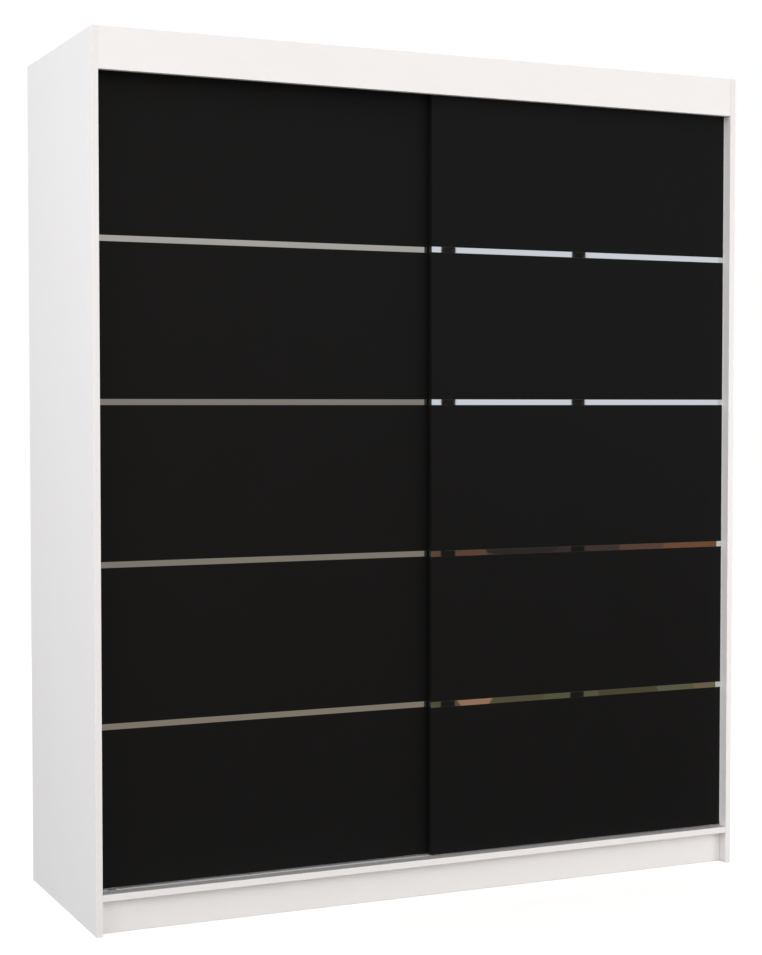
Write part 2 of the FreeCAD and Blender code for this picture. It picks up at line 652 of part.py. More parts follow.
def make_door_board(name, lane, x):
    face = lane - HALF_BOARD
    board = block(x, (face, face + BOARD), (DOOR_FOOT, DOOR_HEAD))
    cuts = [block((x[0] - 1, x[1] + 1), (face - 1, face + STRIP_THICKNESS),
                  span(z, STRIP_HEIGHT + 2 * STRIP_SLACK)) for z in strip_zs()]
    for wheel_x in wheel_xs(x):
        cuts.append(block(span(wheel_x, HOUSING_LENGTH), span(lane, HOUSING_WIDTH),
                          (DOOR_FOOT - 1, DOOR_FOOT + HOUSING_HEIGHT)))
        cuts.append(block(span(wheel_x, GUIDE_PLUG[0]), span(lane, GUIDE_PLUG[1]),
                          (DOOR_HEAD - GUIDE_PLUG[2], DOOR_HEAD + 1)))
    for edge, inward in ((x[0], X), (x[1], -X)):
        cuts.append(rod(HEIGHT_SCREW_RADIUS + 1, WHEEL_FROM_EDGE - HOUSING_LENGTH / 2,
                        (edge, lane, DOOR_FOOT + HEIGHT_SCREW_RISE), inward))
    save(f"{name}_board", board.cut(cuts))


def make_mirror_strips(name, lane, x):
    face = lane - HALF_BOARD
    for number, z in enumerate(strip_zs(), 1):
        strip = block(x, (face, face + STRIP_THICKNESS), span(z, STRIP_HEIGHT))
        save(f"{name}_mirror_strip_{number}", strip)


def make_brush(name, lane, end):
    face = lane - HALF_BOARD + BRUSH_FROM_FACE
    x = ordered(end * DOOR_EDGE_X, end * (INNER_X - CLEAR))
    brush = block(x, (face, face + BRUSH_WIDTH), (DOOR_FOOT + BRUSH_LIFT, FASCIA_Z + BRUSH_BEHIND_FASCIA))
    save(f"{name}_brush", brush)


def make_rollers(name, lane, x):
    """Mortised housings, their axles and height screws, and the grooved wheels."""
    housings, axles, screws = [], [], []
    half = HOUSING_LENGTH / 2
    for place, wheel_x in zip(("left", "right"), wheel_xs(x)):
        body = block(span(wheel_x, HOUSING_LENGTH), span(lane, HOUSING_WIDTH),
                     (DOOR_FOOT, DOOR_FOOT + HOUSING_HEIGHT))
        slot = block(span(wheel_x, 2 * (WHEEL_FLANGE_RADIUS + WHEEL_RIM_ROOM)),
                     span(lane, WHEEL_WIDTH + 2 * WHEEL_SIDE_ROOM),
                     (DOOR_FOOT - 1, WHEEL_Z + WHEEL_FLANGE_RADIUS + WHEEL_RIM_ROOM))
        axle_hole = rod(AXLE_RADIUS, HOUSING_WIDTH, (wheel_x, lane - HOUSING_WIDTH / 2, WHEEL_Z), Y)
        outward = -1 if place == "left" else 1
        screw_z = DOOR_FOOT + HEIGHT_SCREW_RISE
        seat = rod(HEIGHT_SCREW_RADIUS, HEIGHT_SCREW_LENGTH - 2,
                   (wheel_x + outward * half, lane, screw_z), X * -outward)
        stud = rod(HEIGHT_SCREW_RADIUS, HEIGHT_SCREW_LENGTH,
                   (wheel_x + outward * (half + 2), lane, screw_z), X * -outward)
        socket = rod(*HEX_SOCKET, (wheel_x + outward * (half + 2), lane, screw_z), X * -outward)
        housings.append(body.cut([slot, axle_hole, seat]))
        axle_start = (wheel_x, lane - HOUSING_WIDTH / 2 + AXLE_END_GAP, WHEEL_Z)
        axles.append(rod(AXLE_RADIUS, HOUSING_WIDTH - 2 * AXLE_END_GAP, axle_start, Y))
        screws.append(stud.cut(socket))
        save(f"{name}_wheel_{place}", wheel(wheel_x, lane))
    save(f"{name}_roller_housings", *housings)
    save(f"{name}_axles", *axles)
    save(f"{name}_height_screws", *screws)


def wheel(x, lane):
    """Grooved wheel turned about its axle: two flanges with a sloping-sided groove between."""
    half = WHEEL_WIDTH / 2
    groove = WHEEL_GROOVE / 2
    bore = AXLE_RADIUS + WHEEL_BORE_SLACK
    outline = [(bore, -half), (WHEEL_FLANGE_RADIUS, -half), (WHEEL_FLANGE_RADIUS, -groove),
               (WHEEL_TREAD_RADIUS, -groove + GROOVE_SLOPE),
               (WHEEL_TREAD_RADIUS, groove - GROOVE_SLOPE),
               (WHEEL_FLANGE_RADIUS, groove), (WHEEL_FLANGE_RADIUS, half), (bore, half)]
    corners = [Vec(x + r, y_at(lane) + y, WHEEL_Z) for r, y in outline]
    face = Part.Face(Part.makePolygon(corners + corners[:1]))
    return face.revolve(Vec(x, y_at(lane), WHEEL_Z), Y, 360)


def make_top_guides(name, lane, x):
    """Nylon shoes plugged into the door's head, nearly as wide as the channel they run in."""
    guides = []
    plug_length, plug_width, plug_depth = GUIDE_PLUG
    for guide_x in wheel_xs(x):
        cap = block(span(guide_x, GUIDE_LENGTH), span(lane, GUIDE_WIDTH), (DOOR_HEAD, DOOR_HEAD + GUIDE_CAP))
        plug = block(span(guide_x, plug_length), span(lane, plug_width), (DOOR_HEAD - plug_depth, DOOR_HEAD))
        ends = [e for e in cap.Edges if abs(e.Vertexes[0].Z - e.Vertexes[1].Z) > 1]
        guides.append(cap.makeFillet(GUIDE_CORNER, ends).fuse(plug).removeSplitter())
    save(f"{name}_top_guides", *guides)


def make_doors():
    for name, lane, end in DOORS:
        x = door_x(end)
        make_door_board(name, lane, x)
        make_mirror_strips(name, lane, x)
        make_brush(name, lane, end)
        make_rollers(name, lane, x)
        make_top_guides(name, lane, x)


def main():
    os.makedirs("parts", exist_ok=True)
    make_sides()
    make_bottom_and_top()
    make_fascia()
    make_plinths()
    make_partition()
    make_hat_shelves()
    make_loose_shelves()
    make_shelf_pins()
    make_hanging_rail()
    make_rail_sockets()
    make_back_sheets()
    make_joint_strips()
    make_wall_brackets()
    make_lower_track()
    make_upper_track()
    make_track_screws()
    make_track_stops()
    make_fixings()
    make_doors()


main()
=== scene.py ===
# %% [markdown]
# # A sliding door wardrobe, finished in Blender
#
# The wardrobe's solid parts come from a CAD model: boards, tracks, rollers and screws, each in its
# place and riding on the body that it moves with. This lesson gives them their looks. Boards get
# the small rounded arris that their edge band has, the mirror strips, shelves, rail and brushes
# are worked out as surfaces with numpy, and every part gets a finish made from nodes.
#
# Loading the frame comes first, because every place below is read from it.

import math

import bmesh
import bpy
import numpy as np
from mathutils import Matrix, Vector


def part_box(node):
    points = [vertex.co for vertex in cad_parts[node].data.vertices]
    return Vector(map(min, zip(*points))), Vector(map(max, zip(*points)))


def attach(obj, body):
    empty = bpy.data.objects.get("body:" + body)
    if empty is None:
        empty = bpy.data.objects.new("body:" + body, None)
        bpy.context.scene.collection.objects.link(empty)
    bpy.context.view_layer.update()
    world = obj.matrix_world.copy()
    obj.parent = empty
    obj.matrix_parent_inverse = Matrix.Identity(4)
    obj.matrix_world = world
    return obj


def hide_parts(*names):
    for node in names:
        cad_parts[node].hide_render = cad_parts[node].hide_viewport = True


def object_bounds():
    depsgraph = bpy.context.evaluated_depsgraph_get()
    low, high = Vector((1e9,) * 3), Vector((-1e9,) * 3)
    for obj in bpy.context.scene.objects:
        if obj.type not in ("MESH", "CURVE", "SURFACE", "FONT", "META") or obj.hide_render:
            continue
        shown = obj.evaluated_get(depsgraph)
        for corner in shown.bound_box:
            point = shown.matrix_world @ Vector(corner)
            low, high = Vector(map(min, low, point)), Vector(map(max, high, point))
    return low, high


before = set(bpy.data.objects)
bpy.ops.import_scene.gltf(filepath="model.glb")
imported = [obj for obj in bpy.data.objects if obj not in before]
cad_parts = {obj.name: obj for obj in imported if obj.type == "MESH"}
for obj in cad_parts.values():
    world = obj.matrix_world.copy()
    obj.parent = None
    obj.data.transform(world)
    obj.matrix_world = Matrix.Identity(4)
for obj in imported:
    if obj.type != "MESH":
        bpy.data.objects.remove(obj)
cad_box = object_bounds()
MM = 0.001

# %% [markdown]
# ## Small tools
#
# A node tree is long when each node takes five lines, so one function adds a node, sets what it
# is told and links what it is given. Colours are written as the hex values of a paint chart.
# Those are sRGB, a curve made for screens, and a shader wants linear light, so one function
# turns them.

# %% Tools for finishes
def hex_linear(code):
    """sRGB hex to linear light: v / 12.92 for v up to 0.04045, else ((v + 0.055) / 1.055) ** 2.4."""
    srgb = np.array([int(code[i:i + 2], 16) for i in (1, 3, 5)]) / 255
    linear = np.where(srgb <= 0.04045, srgb / 12.92, ((srgb + 0.055) / 1.055) ** 2.4)
    return (*linear.tolist(), 1.0)


def add(tree, kind, sockets=None, **settings):
    """Adds a node. Settings are its properties; sockets are inputs, each a value or an output to link."""
    made = tree.nodes.new(kind)
    for name, value in settings.items():
        setattr(made, name, value)
    for key, value in (sockets or {}).items():
        if isinstance(value, bpy.types.NodeSocket):
            tree.links.new(value, made.inputs[key])
        else:
            made.inputs[key].default_value = value
    return made


FINISH = {}


def new_finish(key, name, **shader):
    """A material kept under a key: one Principled shader, and Object coordinates, here in metres."""
    material = bpy.data.materials.new(name)
    material.use_nodes = True
    tree = material.node_tree
    tree.nodes.clear()
    skin = add(tree, "ShaderNodeBsdfPrincipled", {k.replace("_", " "): v for k, v in shader.items()})
    add(tree, "ShaderNodeOutputMaterial", {"Surface": skin.outputs[0]})
    place = add(tree, "ShaderNodeTexCoord").outputs["Object"]
    FINISH[key] = material
    print("finish:", name)
    return tree, skin, place


def dress(tree, skin, tone, tones, gloss, glosses, relief, depth_mm):
    """Lets three patterns from 0 to 1 drive a shader: the first moves its colour between two tones,
    the second its roughness between two values, and the third raises its surface by depth_mm."""
    colour = add(tree, "ShaderNodeMix", {"Factor": tone.outputs[0], 6: hex_linear(tones[0]),
                                         7: hex_linear(tones[1])}, data_type="RGBA")
    spread = add(tree, "ShaderNodeMapRange", {"Value": gloss.outputs[0], "To Min": glosses[0],
                                              "To Max": glosses[1]})
    bump = add(tree, "ShaderNodeBump", {"Height": relief.outputs[0], "Distance": depth_mm * MM})
    for made, socket in ((colour.outputs[2], "Base Color"), (spread.outputs[0], "Roughness"),
                         (bump.outputs[0], "Normal")):
        tree.links.new(made, skin.inputs[socket])


def per_metre(size_mm):
    """Texture scale that makes one cell of a pattern this many millimetres."""
    return 1000 / size_mm


print("an sRGB grey of #808080 is", round(hex_linear("#808080")[0], 3), "in linear light")

# %% [markdown]
# ## White melamine, its edge band and the chipboard inside
#
# The carcass is chipboard under a white melamine paper that was pressed against a plate with a
# fine pearl grain. The grain is about 1 mm across and a few hundredths deep. It is too fine to
# show from across a room, so the broad mottling that it gives to the light is drawn 5 mm wide.
# The front edges are covered with ABS band, which is smoother, because it was scraped flush along
# its length. Where nothing covers a board, at the back and in the bores, the chips show.

# %% White melamine
PEARL_MM = 5.0                # real pearl grain is about 1 mm: drawn coarser so that it shows
tree, skin, place = new_finish("white_face", "white_melamine_pressed", IOR=1.5, Specular_IOR_Level=0.35)
clouds = add(tree, "ShaderNodeTexNoise", {"Vector": place, "Scale": per_metre(90), "Detail": 3.0})
pearl = add(tree, "ShaderNodeTexNoise", {"Vector": place, "Scale": per_metre(PEARL_MM), "Detail": 4.0})
# Gives the eye: a paper white with soft, wide highlights.
dress(tree, skin, clouds, ("#f1f0f0", "#f3f3f3"), pearl, (0.42, 0.62), pearl, 0.12)

# %% White ABS edge band
SCRAPE_MM = 1.5
tree, skin, place = new_finish("white_edge", "white_abs_band_scraped", IOR=1.5, Specular_IOR_Level=0.45)
clouds = add(tree, "ShaderNodeTexNoise", {"Vector": place, "Scale": per_metre(60), "Detail": 2.0})
scrapes = add(tree, "ShaderNodeTexNoise", {"Vector": place, "Scale": per_metre(SCRAPE_MM), "Detail": 2.0})
# Gives the eye: a warmer line round each board, a shade glossier than its faces.
dress(tree, skin, clouds, ("#edebeb", "#f1f0ef"), scrapes, (0.28, 0.42), scrapes, 0.03)

# %% Raw chipboard
CHIP_MM = 2.5
tree, skin, place = new_finish("raw_chipboard", "chipboard_sawn", IOR=1.45, Specular_IOR_Level=0.2)
chips = add(tree, "ShaderNodeTexVoronoi", {"Vector": place, "Scale": per_metre(CHIP_MM)})
tone = add(tree, "ShaderNodeRGBToBW", {0: chips.outputs["Color"]})
# Gives the eye: a dry, broken brown with no highlight at all.
dress(tree, skin, tone, ("#7d6040", "#c3a473"), tone, (0.75, 0.95), chips, 0.5)
print("carcass finishes:", sorted(FINISH))

# %% [markdown]
# ## Black melamine
#
# The doors are the same board under a black paper with a matt pearl grain. Black shows nothing
# but its reflections, so what matters is how much light the grain scatters: a high roughness and
# a low specular level keep the door near black even where it faces a lamp.

# %% Black melamine
tree, skin, place = new_finish("black_face", "black_melamine_pressed", IOR=1.5, Specular_IOR_Level=0.23)
clouds = add(tree, "ShaderNodeTexNoise", {"Vector": place, "Scale": per_metre(120), "Detail": 3.0})
pearl = add(tree, "ShaderNodeTexNoise", {"Vector": place, "Scale": per_metre(PEARL_MM), "Detail": 4.0})
# Gives the eye: a near black that a lamp only greys a little.
dress(tree, skin, clouds, ("#080807", "#0b0a0a"), pearl, (0.52, 0.68), pearl, 0.10)

# %% Black ABS edge band
tree, skin, place = new_finish("black_edge", "black_abs_band_scraped", IOR=1.5, Specular_IOR_Level=0.3)
scrapes = add(tree, "ShaderNodeTexNoise", {"Vector": place, "Scale": per_metre(SCRAPE_MM), "Detail": 2.0})
# Gives the eye: a slightly lighter line that shows where each door ends.
dress(tree, skin, scrapes, ("#0f0e0d", "#171615"), scrapes, (0.4, 0.55), scrapes, 0.03)

# %% [markdown]
# ## Mirror strips
#
# Each strip is 4 mm float glass, silvered behind. All that the eye sees from the front is the
# silver's reflection with the faintest green of the glass, so a metallic shader with almost no
# roughness does for both layers. The float line leaves a waviness some 150 mm long. The cut
# edges were ground, which leaves them a frosted sea green.

# %% Silvered mirror
WAVE_MM = 150.0
tree, skin, place = new_finish("mirror", "silvered_float_glass", Metallic=1.0)
waves = add(tree, "ShaderNodeTexNoise", {"Vector": place, "Scale": per_metre(WAVE_MM), "Detail": 1.0})
# Gives the eye: the room, a little green and very slightly wavy.
dress(tree, skin, waves, ("#f1f5f3", "#f5f8f6"), waves, (0.015, 0.025), waves, 0.03)

# %% Ground glass edge
GRIND_MM = 0.8
tree, skin, place = new_finish("glass_edge", "float_glass_ground", IOR=1.52, Specular_IOR_Level=0.3)
grit = add(tree, "ShaderNodeTexNoise", {"Vector": place, "Scale": per_metre(GRIND_MM), "Detail": 2.0})
# Gives the eye: a thin dark green line above and below a strip, hardly lighter than the board.
dress(tree, skin, grit, ("#2c3a34", "#46564f"), grit, (0.3, 0.5), grit, 0.05)
print("door finishes:", [n for n in FINISH if n.startswith(("black", "mirror", "glass"))])

# %% [markdown]
# ## Metals
#
# The tracks are extruded aluminium, anodised to a silky grey. The die leaves fine lines along the
# length, and the acid bath softens them. The rail is chromed steel, smooth but for a slight
# haze. Cams and rail sockets are zinc, cast in a die, so their skin is a little orange-peeled.
# Screws, nails and axles are steel with a thin coat of zinc, whose colour drifts between blue
# and straw.

# %% Anodised aluminium
DIE_LINE_MM = 0.8             # real die lines are about 0.2 mm: drawn coarser so that they show
ALONG = 1 / 400               # a pattern squeezed to this comes out as lines 400 times as long
tree, skin, place = new_finish("aluminium", "aluminium_extruded_anodised", Metallic=0.8)
drawn = add(tree, "ShaderNodeMapping", {"Vector": place, "Scale": (ALONG, 1.0, 1.0)})
lines = add(tree, "ShaderNodeTexNoise", {"Vector": drawn.outputs[0], "Scale": per_metre(DIE_LINE_MM),
                                         "Detail": 3.0})
# Gives the eye: a silky grey with lengthwise lines. The oxide film scatters a fifth of the light.
dress(tree, skin, lines, ("#d2d3d4", "#e6e6e6"), lines, (0.55, 0.75), lines, 0.02)

# %% Bright aluminium
tree, skin, place = new_finish("carrier", "aluminium_drawn_milky", Metallic=0.5)
drawn = add(tree, "ShaderNodeMapping", {"Vector": place, "Scale": (1.0, 1.0, ALONG)})
lines = add(tree, "ShaderNodeTexNoise", {"Vector": drawn.outputs[0], "Scale": per_metre(DIE_LINE_MM),
                                         "Detail": 3.0})
# Gives the eye: a light line beside the black door. The milky film scatters half of the light.
dress(tree, skin, lines, ("#f1f1f1", "#fafafa"), lines, (0.22, 0.38), lines, 0.01)

# %% Chrome plate
tree, skin, place = new_finish("chrome", "steel_chrome_plated", Metallic=1.0)
drawn = add(tree, "ShaderNodeMapping", {"Vector": place, "Scale": (1 / 12, 1.0, 1.0)})
haze = add(tree, "ShaderNodeTexNoise", {"Vector": drawn.outputs[0], "Scale": per_metre(6), "Detail": 5.0})
# Gives the eye: clear reflections along the rail, softened by a slight haze.
dress(tree, skin, haze, ("#d3d5d8", "#e2e3e4"), haze, (0.05, 0.14), haze, 0.01)

# %% Die-cast zinc
PEEL_MM = 1.2
tree, skin, place = new_finish("zinc_casting", "zinc_die_cast", Metallic=1.0)
peel = add(tree, "ShaderNodeTexNoise", {"Vector": place, "Scale": per_metre(PEEL_MM), "Detail": 3.0})
# Gives the eye: dull grey discs in the boards, with a broken highlight.
dress(tree, skin, peel, ("#95979a", "#b2b4b6"), peel, (0.35, 0.55), peel, 0.06)

# %% Zinc-plated steel
tree, skin, place = new_finish("zinc_steel", "steel_zinc_plated", Metallic=1.0)
drift = add(tree, "ShaderNodeTexNoise", {"Vector": place, "Scale": per_metre(3), "Detail": 2.0})
# Gives the eye: a glint between blue and straw on small heads.
dress(tree, skin, drift, ("#aeb7c4", "#c9c5b4"), drift, (0.22, 0.4), drift, 0.01)
print("finishes so far:", len(FINISH))

# %% [markdown]
# ## Plastics and the pile of the brush
#
# The roller housings and track stops are grey nylon, the wheels white acetal and the guide shoes
# black nylon, all moulded in spark-eroded moulds. Such a mould leaves a dull grain of about half
# a millimetre. The joint strips of the back are white PVC. One loop makes the four, since only
# tone and gloss change. The brush is wool-like polypropylene pile, where each hair catches light
# at its edge: that is what Sheen is for.

# %% Moulded plastics
SPARK_MM = 0.5
for key, name, dark, light, gloss in (
        ("grey_nylon", "nylon_moulded_grey", "#7b7d80", "#8d8f92", 0.45),
        ("white_acetal", "acetal_moulded_white", "#e2e2dd", "#efefe9", 0.3),
        ("black_nylon", "nylon_moulded_black", "#111112", "#1c1c1d", 0.5),
        ("white_pvc", "pvc_extruded_white", "#e2e1dc", "#edece8", 0.35)):
    tree, skin, place = new_finish(key, name, IOR=1.5, Specular_IOR_Level=0.4)
    spark = add(tree, "ShaderNodeTexNoise", {"Vector": place, "Scale": per_metre(SPARK_MM), "Detail": 3.0})
    # Gives the eye: an even, grainy tone with a dull highlight.
    dress(tree, skin, spark, (dark, light), spark, (gloss - 0.06, gloss + 0.1), spark, 0.04)

# %% Brush pile
HAIR_MM = 0.3
tree, skin, place = new_finish("pile", "polypropylene_pile", IOR=1.49, Sheen_Weight=0.4,
                               Sheen_Roughness=0.5, Specular_IOR_Level=0.2)
drawn = add(tree, "ShaderNodeMapping", {"Vector": place, "Scale": (1 / 8, 1.0, 1.0)})
hairs = add(tree, "ShaderNodeTexNoise", {"Vector": drawn.outputs[0], "Scale": per_metre(HAIR_MM),
                                         "Detail": 2.0})
# Gives the eye: a soft pale fringe with a bright rim.
dress(tree, skin, hairs, ("#c2c4c7", "#eef0f2"), hairs, (0.6, 0.9), hairs, 0.1)
print("plastics and pile:", [m.name for m in list(FINISH.values())[-5:]])

# %% [markdown]
# ## The hardboard back and the beech dowels
#
# The back is hardboard: wood fibre pressed wet on a wire screen. The screen prints a small
# square pattern on the outside, and the inside is smooth and lacquered white. The dowels are
# beech with pressed flutes. Beech has short dark flecks, some 3 mm long, along the grain.

# %% Hardboard, raw outside
SCREEN_MM = 3.0               # real screens are near 1.5 mm: drawn coarser so that it shows
tree, skin, place = new_finish("hardboard", "hardboard_screen_pressed", IOR=1.45, Specular_IOR_Level=0.25)
fibres = add(tree, "ShaderNodeTexNoise", {"Vector": place, "Scale": per_metre(2), "Detail": 6.0,
                                          "Distortion": 1.5})
patches = add(tree, "ShaderNodeTexNoise", {"Vector": place, "Scale": per_metre(220), "Detail": 3.0})
both = add(tree, "ShaderNodeMath", {0: fibres.outputs[0], 1: patches.outputs[0]}, operation="ADD")
half = add(tree, "ShaderNodeMath", {0: both.outputs[0], 1: 0.5}, operation="MULTIPLY")
pitch = 2 * math.pi * per_metre(SCREEN_MM)
axes = add(tree, "ShaderNodeSeparateXYZ", {0: place})
across = add(tree, "ShaderNodeMath", {0: axes.outputs[0], 1: pitch}, operation="MULTIPLY")
upward = add(tree, "ShaderNodeMath", {0: axes.outputs[2], 1: pitch}, operation="MULTIPLY")
across = add(tree, "ShaderNodeMath", {0: across.outputs[0]}, operation="SINE")
upward = add(tree, "ShaderNodeMath", {0: upward.outputs[0]}, operation="SINE")
wires = add(tree, "ShaderNodeMath", {0: across.outputs[0], 1: upward.outputs[0]}, operation="MULTIPLY")
# Gives the eye: a warm, faintly patchy brown that breaks up the light.
dress(tree, skin, half, ("#664931", "#866342"), fibres, (0.6, 0.8), wires, 0.08)

# %% Hardboard, lacquered inside
tree, skin, place = new_finish("lacquer", "hardboard_lacquered_white", IOR=1.5, Specular_IOR_Level=0.35)
flow = add(tree, "ShaderNodeTexNoise", {"Vector": place, "Scale": per_metre(8), "Detail": 3.0})
# Gives the eye: an even off-white, duller than the boards beside it.
dress(tree, skin, flow, ("#e3e2de", "#ecebe8"), flow, (0.4, 0.55), flow, 0.05)

# %% Beech
FLECK_MM = 0.6
tree, skin, place = new_finish("beech", "beech_turned", IOR=1.45, Specular_IOR_Level=0.3)
drawn = add(tree, "ShaderNodeMapping", {"Vector": place, "Scale": (1 / 5, 1.0, 1.0)})
flecks = add(tree, "ShaderNodeTexNoise", {"Vector": drawn.outputs[0], "Scale": per_metre(FLECK_MM),
                                         "Detail": 4.0})
# Gives the eye: a light wood with short dark flecks.
dress(tree, skin, flecks, ("#b98c5c", "#dcb98c"), flecks, (0.55, 0.75), flecks, 0.08)
print("finishes in all:", len(FINISH))

# %% [markdown]
# ## From arrays to pieces
#
# A new piece is a grid of points: rows one way, columns the other, and a quad between each four
# neighbours. A closed shape joins its last row or column to its first. The grid goes to the mesh
# as whole arrays. Points that fall together, as at a pole, are welded, so the shape has no seam.

# %% Tools for pieces
def grid_faces(rows, columns, wrap_rows, wrap_columns):
    """Corner numbers of the quads between neighbouring rows and columns, the last joined to the first."""
    r = np.arange(rows if wrap_rows else rows - 1)[:, None]
    c = np.arange(columns if wrap_columns else columns - 1)[None, :]
    below, right = (r + 1) % rows, (c + 1) % columns
    corners = [r * columns + c, r * columns + right, below * columns + right, below * columns + c]
    return np.stack([np.broadcast_to(k, (r.size, c.size)) for k in corners], -1).reshape(-1, 4)


def mesh_of(name, points, faces):
    """Mesh from points (n, 3) and equal-sided faces (m, k), its doubles welded and faces outward."""
    mesh = bpy.data.meshes.new(name)
    mesh.from_pydata(points.reshape(-1, 3).tolist(), [], faces.tolist())
    work = bmesh.new()
    work.from_mesh(mesh)
    bmesh.ops.remove_doubles(work, verts=work.verts, dist=1e-6)
    bmesh.ops.recalc_face_normals(work, faces=work.faces)
    work.to_mesh(mesh)
    work.free()
    mesh.validate()
    return mesh


def points_of(mesh):
    """The mesh's vertices as an (n, 3) array."""
    points = np.zeros(len(mesh.vertices) * 3, np.float32)
    mesh.vertices.foreach_get("co", points)
    return points.reshape(-1, 3)


def facing(mesh):
    """The normal of each face, as an (n, 3) array."""
    normals = np.zeros(len(mesh.polygons) * 3, np.float32)
    mesh.polygons.foreach_get("normal", normals)
    return normals.reshape(-1, 3)


def piece(mesh, name, body, finishes, node):
    """Shows a mesh as a piece: its finishes in order, riding on a body, in place of a CAD node."""
    shown = bpy.data.objects.new(name, mesh)
    bpy.context.scene.collection.objects.link(shown)
    for key in finishes:
        mesh.materials.append(FINISH[key])
    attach(shown, body)
    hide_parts(node)
    return shown


# %% [markdown]
# ## Boards with their arris
#
# A board straight from CAD has edges as sharp as a knife, and they catch no light. The real band
# is 0.8 mm ABS whose arris was rounded with a cutter. The bored boards keep their CAD shape, holes
# and all: a copy of the mesh is welded, its flat triangles are dissolved into whole faces, and a
# Bevel modifier rounds only the long sharp edges. Faces then get one of three finishes: the paper
# on the broad faces, band on the edges that show, and bare chipboard inside bores and behind.

# %% Round the arris of a bored board
BAND_RADIUS_MM = 0.8
SHORTEST_ARRIS_MM = 12.0      # the short edges inside bores and mortises stay sharp


def whole_faces(node):
    """A copy of a CAD node's mesh, welded, with the triangles of each flat face dissolved into one."""
    mesh = bpy.data.meshes.new(node + "_mesh")
    work = bmesh.new()
    work.from_mesh(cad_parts[node].data)
    bmesh.ops.remove_doubles(work, verts=work.verts, dist=2e-6)
    bmesh.ops.dissolve_limit(work, angle_limit=math.radians(1), verts=work.verts, edges=work.edges)
    work.to_mesh(mesh)
    work.free()
    if "custom_normal" in mesh.attributes:
        mesh.attributes.remove(mesh.attributes["custom_normal"])
    return mesh


def weigh_edges(mesh, shortest_mm):
    """Bevel weight 1 where an edge is longer than shortest_mm and turns by more than 60 degrees; the
    other edges that turn by more than 30 degrees are marked sharp."""
    work = bmesh.new()
    work.from_mesh(mesh)
    turn = np.array([edge.calc_face_angle(0.0) for edge in work.edges])
    length = np.array([edge.calc_length() for edge in work.edges])
    work.free()
    rounded = (length > shortest_mm * MM) & (turn > math.radians(60))
    weights = mesh.attributes.new("bevel_weight_edge", "FLOAT", "EDGE")
    weights.data.foreach_set("value", rounded.astype(np.float32))
    mesh.shade_smooth()
    creases = mesh.attributes.get("sharp_edge") or mesh.attributes.new("sharp_edge", "BOOLEAN", "EDGE")
    creases.data.foreach_set("value", (turn > math.radians(30)) & ~rounded)
    return int(rounded.sum())


def centres(mesh):
    """The middle of each face, as an (n, 3) array."""
    middle = np.zeros(len(mesh.polygons) * 3, np.float32)
    mesh.polygons.foreach_get("center", middle)
    return middle.reshape(-1, 3)


def face_kinds(mesh, bare):
    """0 for a broad face, 1 for an edge face, 2 inside a bore or on a side named in bare.
    A face is outside when its middle lies on one of the six planes of the board's box; bare names
    such planes as (axis, -1 or 1)."""
    points, normals, middle = points_of(mesh), facing(mesh), centres(mesh)
    low, high = points.min(0), points.max(0)
    thin = int(np.argmin(high - low))
    on_low = (np.abs(middle - low) < 1e-5) & (normals < -0.99)
    on_high = (np.abs(middle - high) < 1e-5) & (normals > 0.99)
    kinds = np.full(len(mesh.polygons), 2, np.int32)
    kinds[(on_low | on_high).any(1)] = 1
    kinds[on_low[:, thin] | on_high[:, thin]] = 0
    for axis, way in bare:
        kinds[(on_high if way > 0 else on_low)[:, axis]] = 2
    return kinds


def round_arris(shown, radius_mm, steps):
    """Rounds the weighted edges of a piece, its flat faces kept flat."""
    arris = shown.modifiers.new("arris", "BEVEL")
    arris.width = radius_mm * MM
    arris.segments = steps
    arris.limit_method = "WEIGHT"
    arris.use_clamp_overlap = False
    arris.harden_normals = True


def banded_board(node, body, finishes, bare, radius_mm=BAND_RADIUS_MM, steps=3):
    """A bored board in its CAD shape, with rounded arrises and a finish for each kind of face."""
    mesh = whole_faces(node)
    edges = weigh_edges(mesh, SHORTEST_ARRIS_MM)
    mesh.polygons.foreach_set("material_index", face_kinds(mesh, bare))
    board = piece(mesh, node + "_finished", body, finishes, node)
    round_arris(board, radius_mm, steps)
    print(f"{node}: {len(mesh.polygons)} faces, {edges} rounded edges")


WHITE_BOARD = ("white_face", "white_edge", "raw_chipboard")
BLACK_BOARD = ("black_face", "black_edge", "black_edge")
BEHIND, UNDER = (1, 1), (2, -1)

# %% Carcass boards
ENDS = ((0, -1), (0, 1))
for node, bare in (
        ("side_left", (BEHIND, UNDER)), ("side_right", (BEHIND, UNDER)),
        ("bottom_board", (BEHIND, *ENDS)), ("top_board", (BEHIND, *ENDS)),
        ("fascia", ENDS), ("front_plinth", (UNDER, *ENDS)), ("rear_plinth", (UNDER, *ENDS)),
        ("plinth_rib", (UNDER, BEHIND)), ("partition", (BEHIND, (2, 1), UNDER)),
        ("hat_shelf_left", (BEHIND, *ENDS)), ("hat_shelf_right", (BEHIND, *ENDS))):
    banded_board(node, "carcass", WHITE_BOARD, bare)

# %% [markdown]
# ## The doors
#
# Each door is one black board with four grooves across its face. Its arris is kept finer than the
# carcass's, because the grooves need crisp sides for the mirror strips to sit flush.

# %% Door boards
DOORS = ("left_door", "right_door")
FINE_ARRIS_MM = 0.4
for door in DOORS:
    banded_board(door + "_board", door, BLACK_BOARD, (), radius_mm=FINE_ARRIS_MM, steps=2)

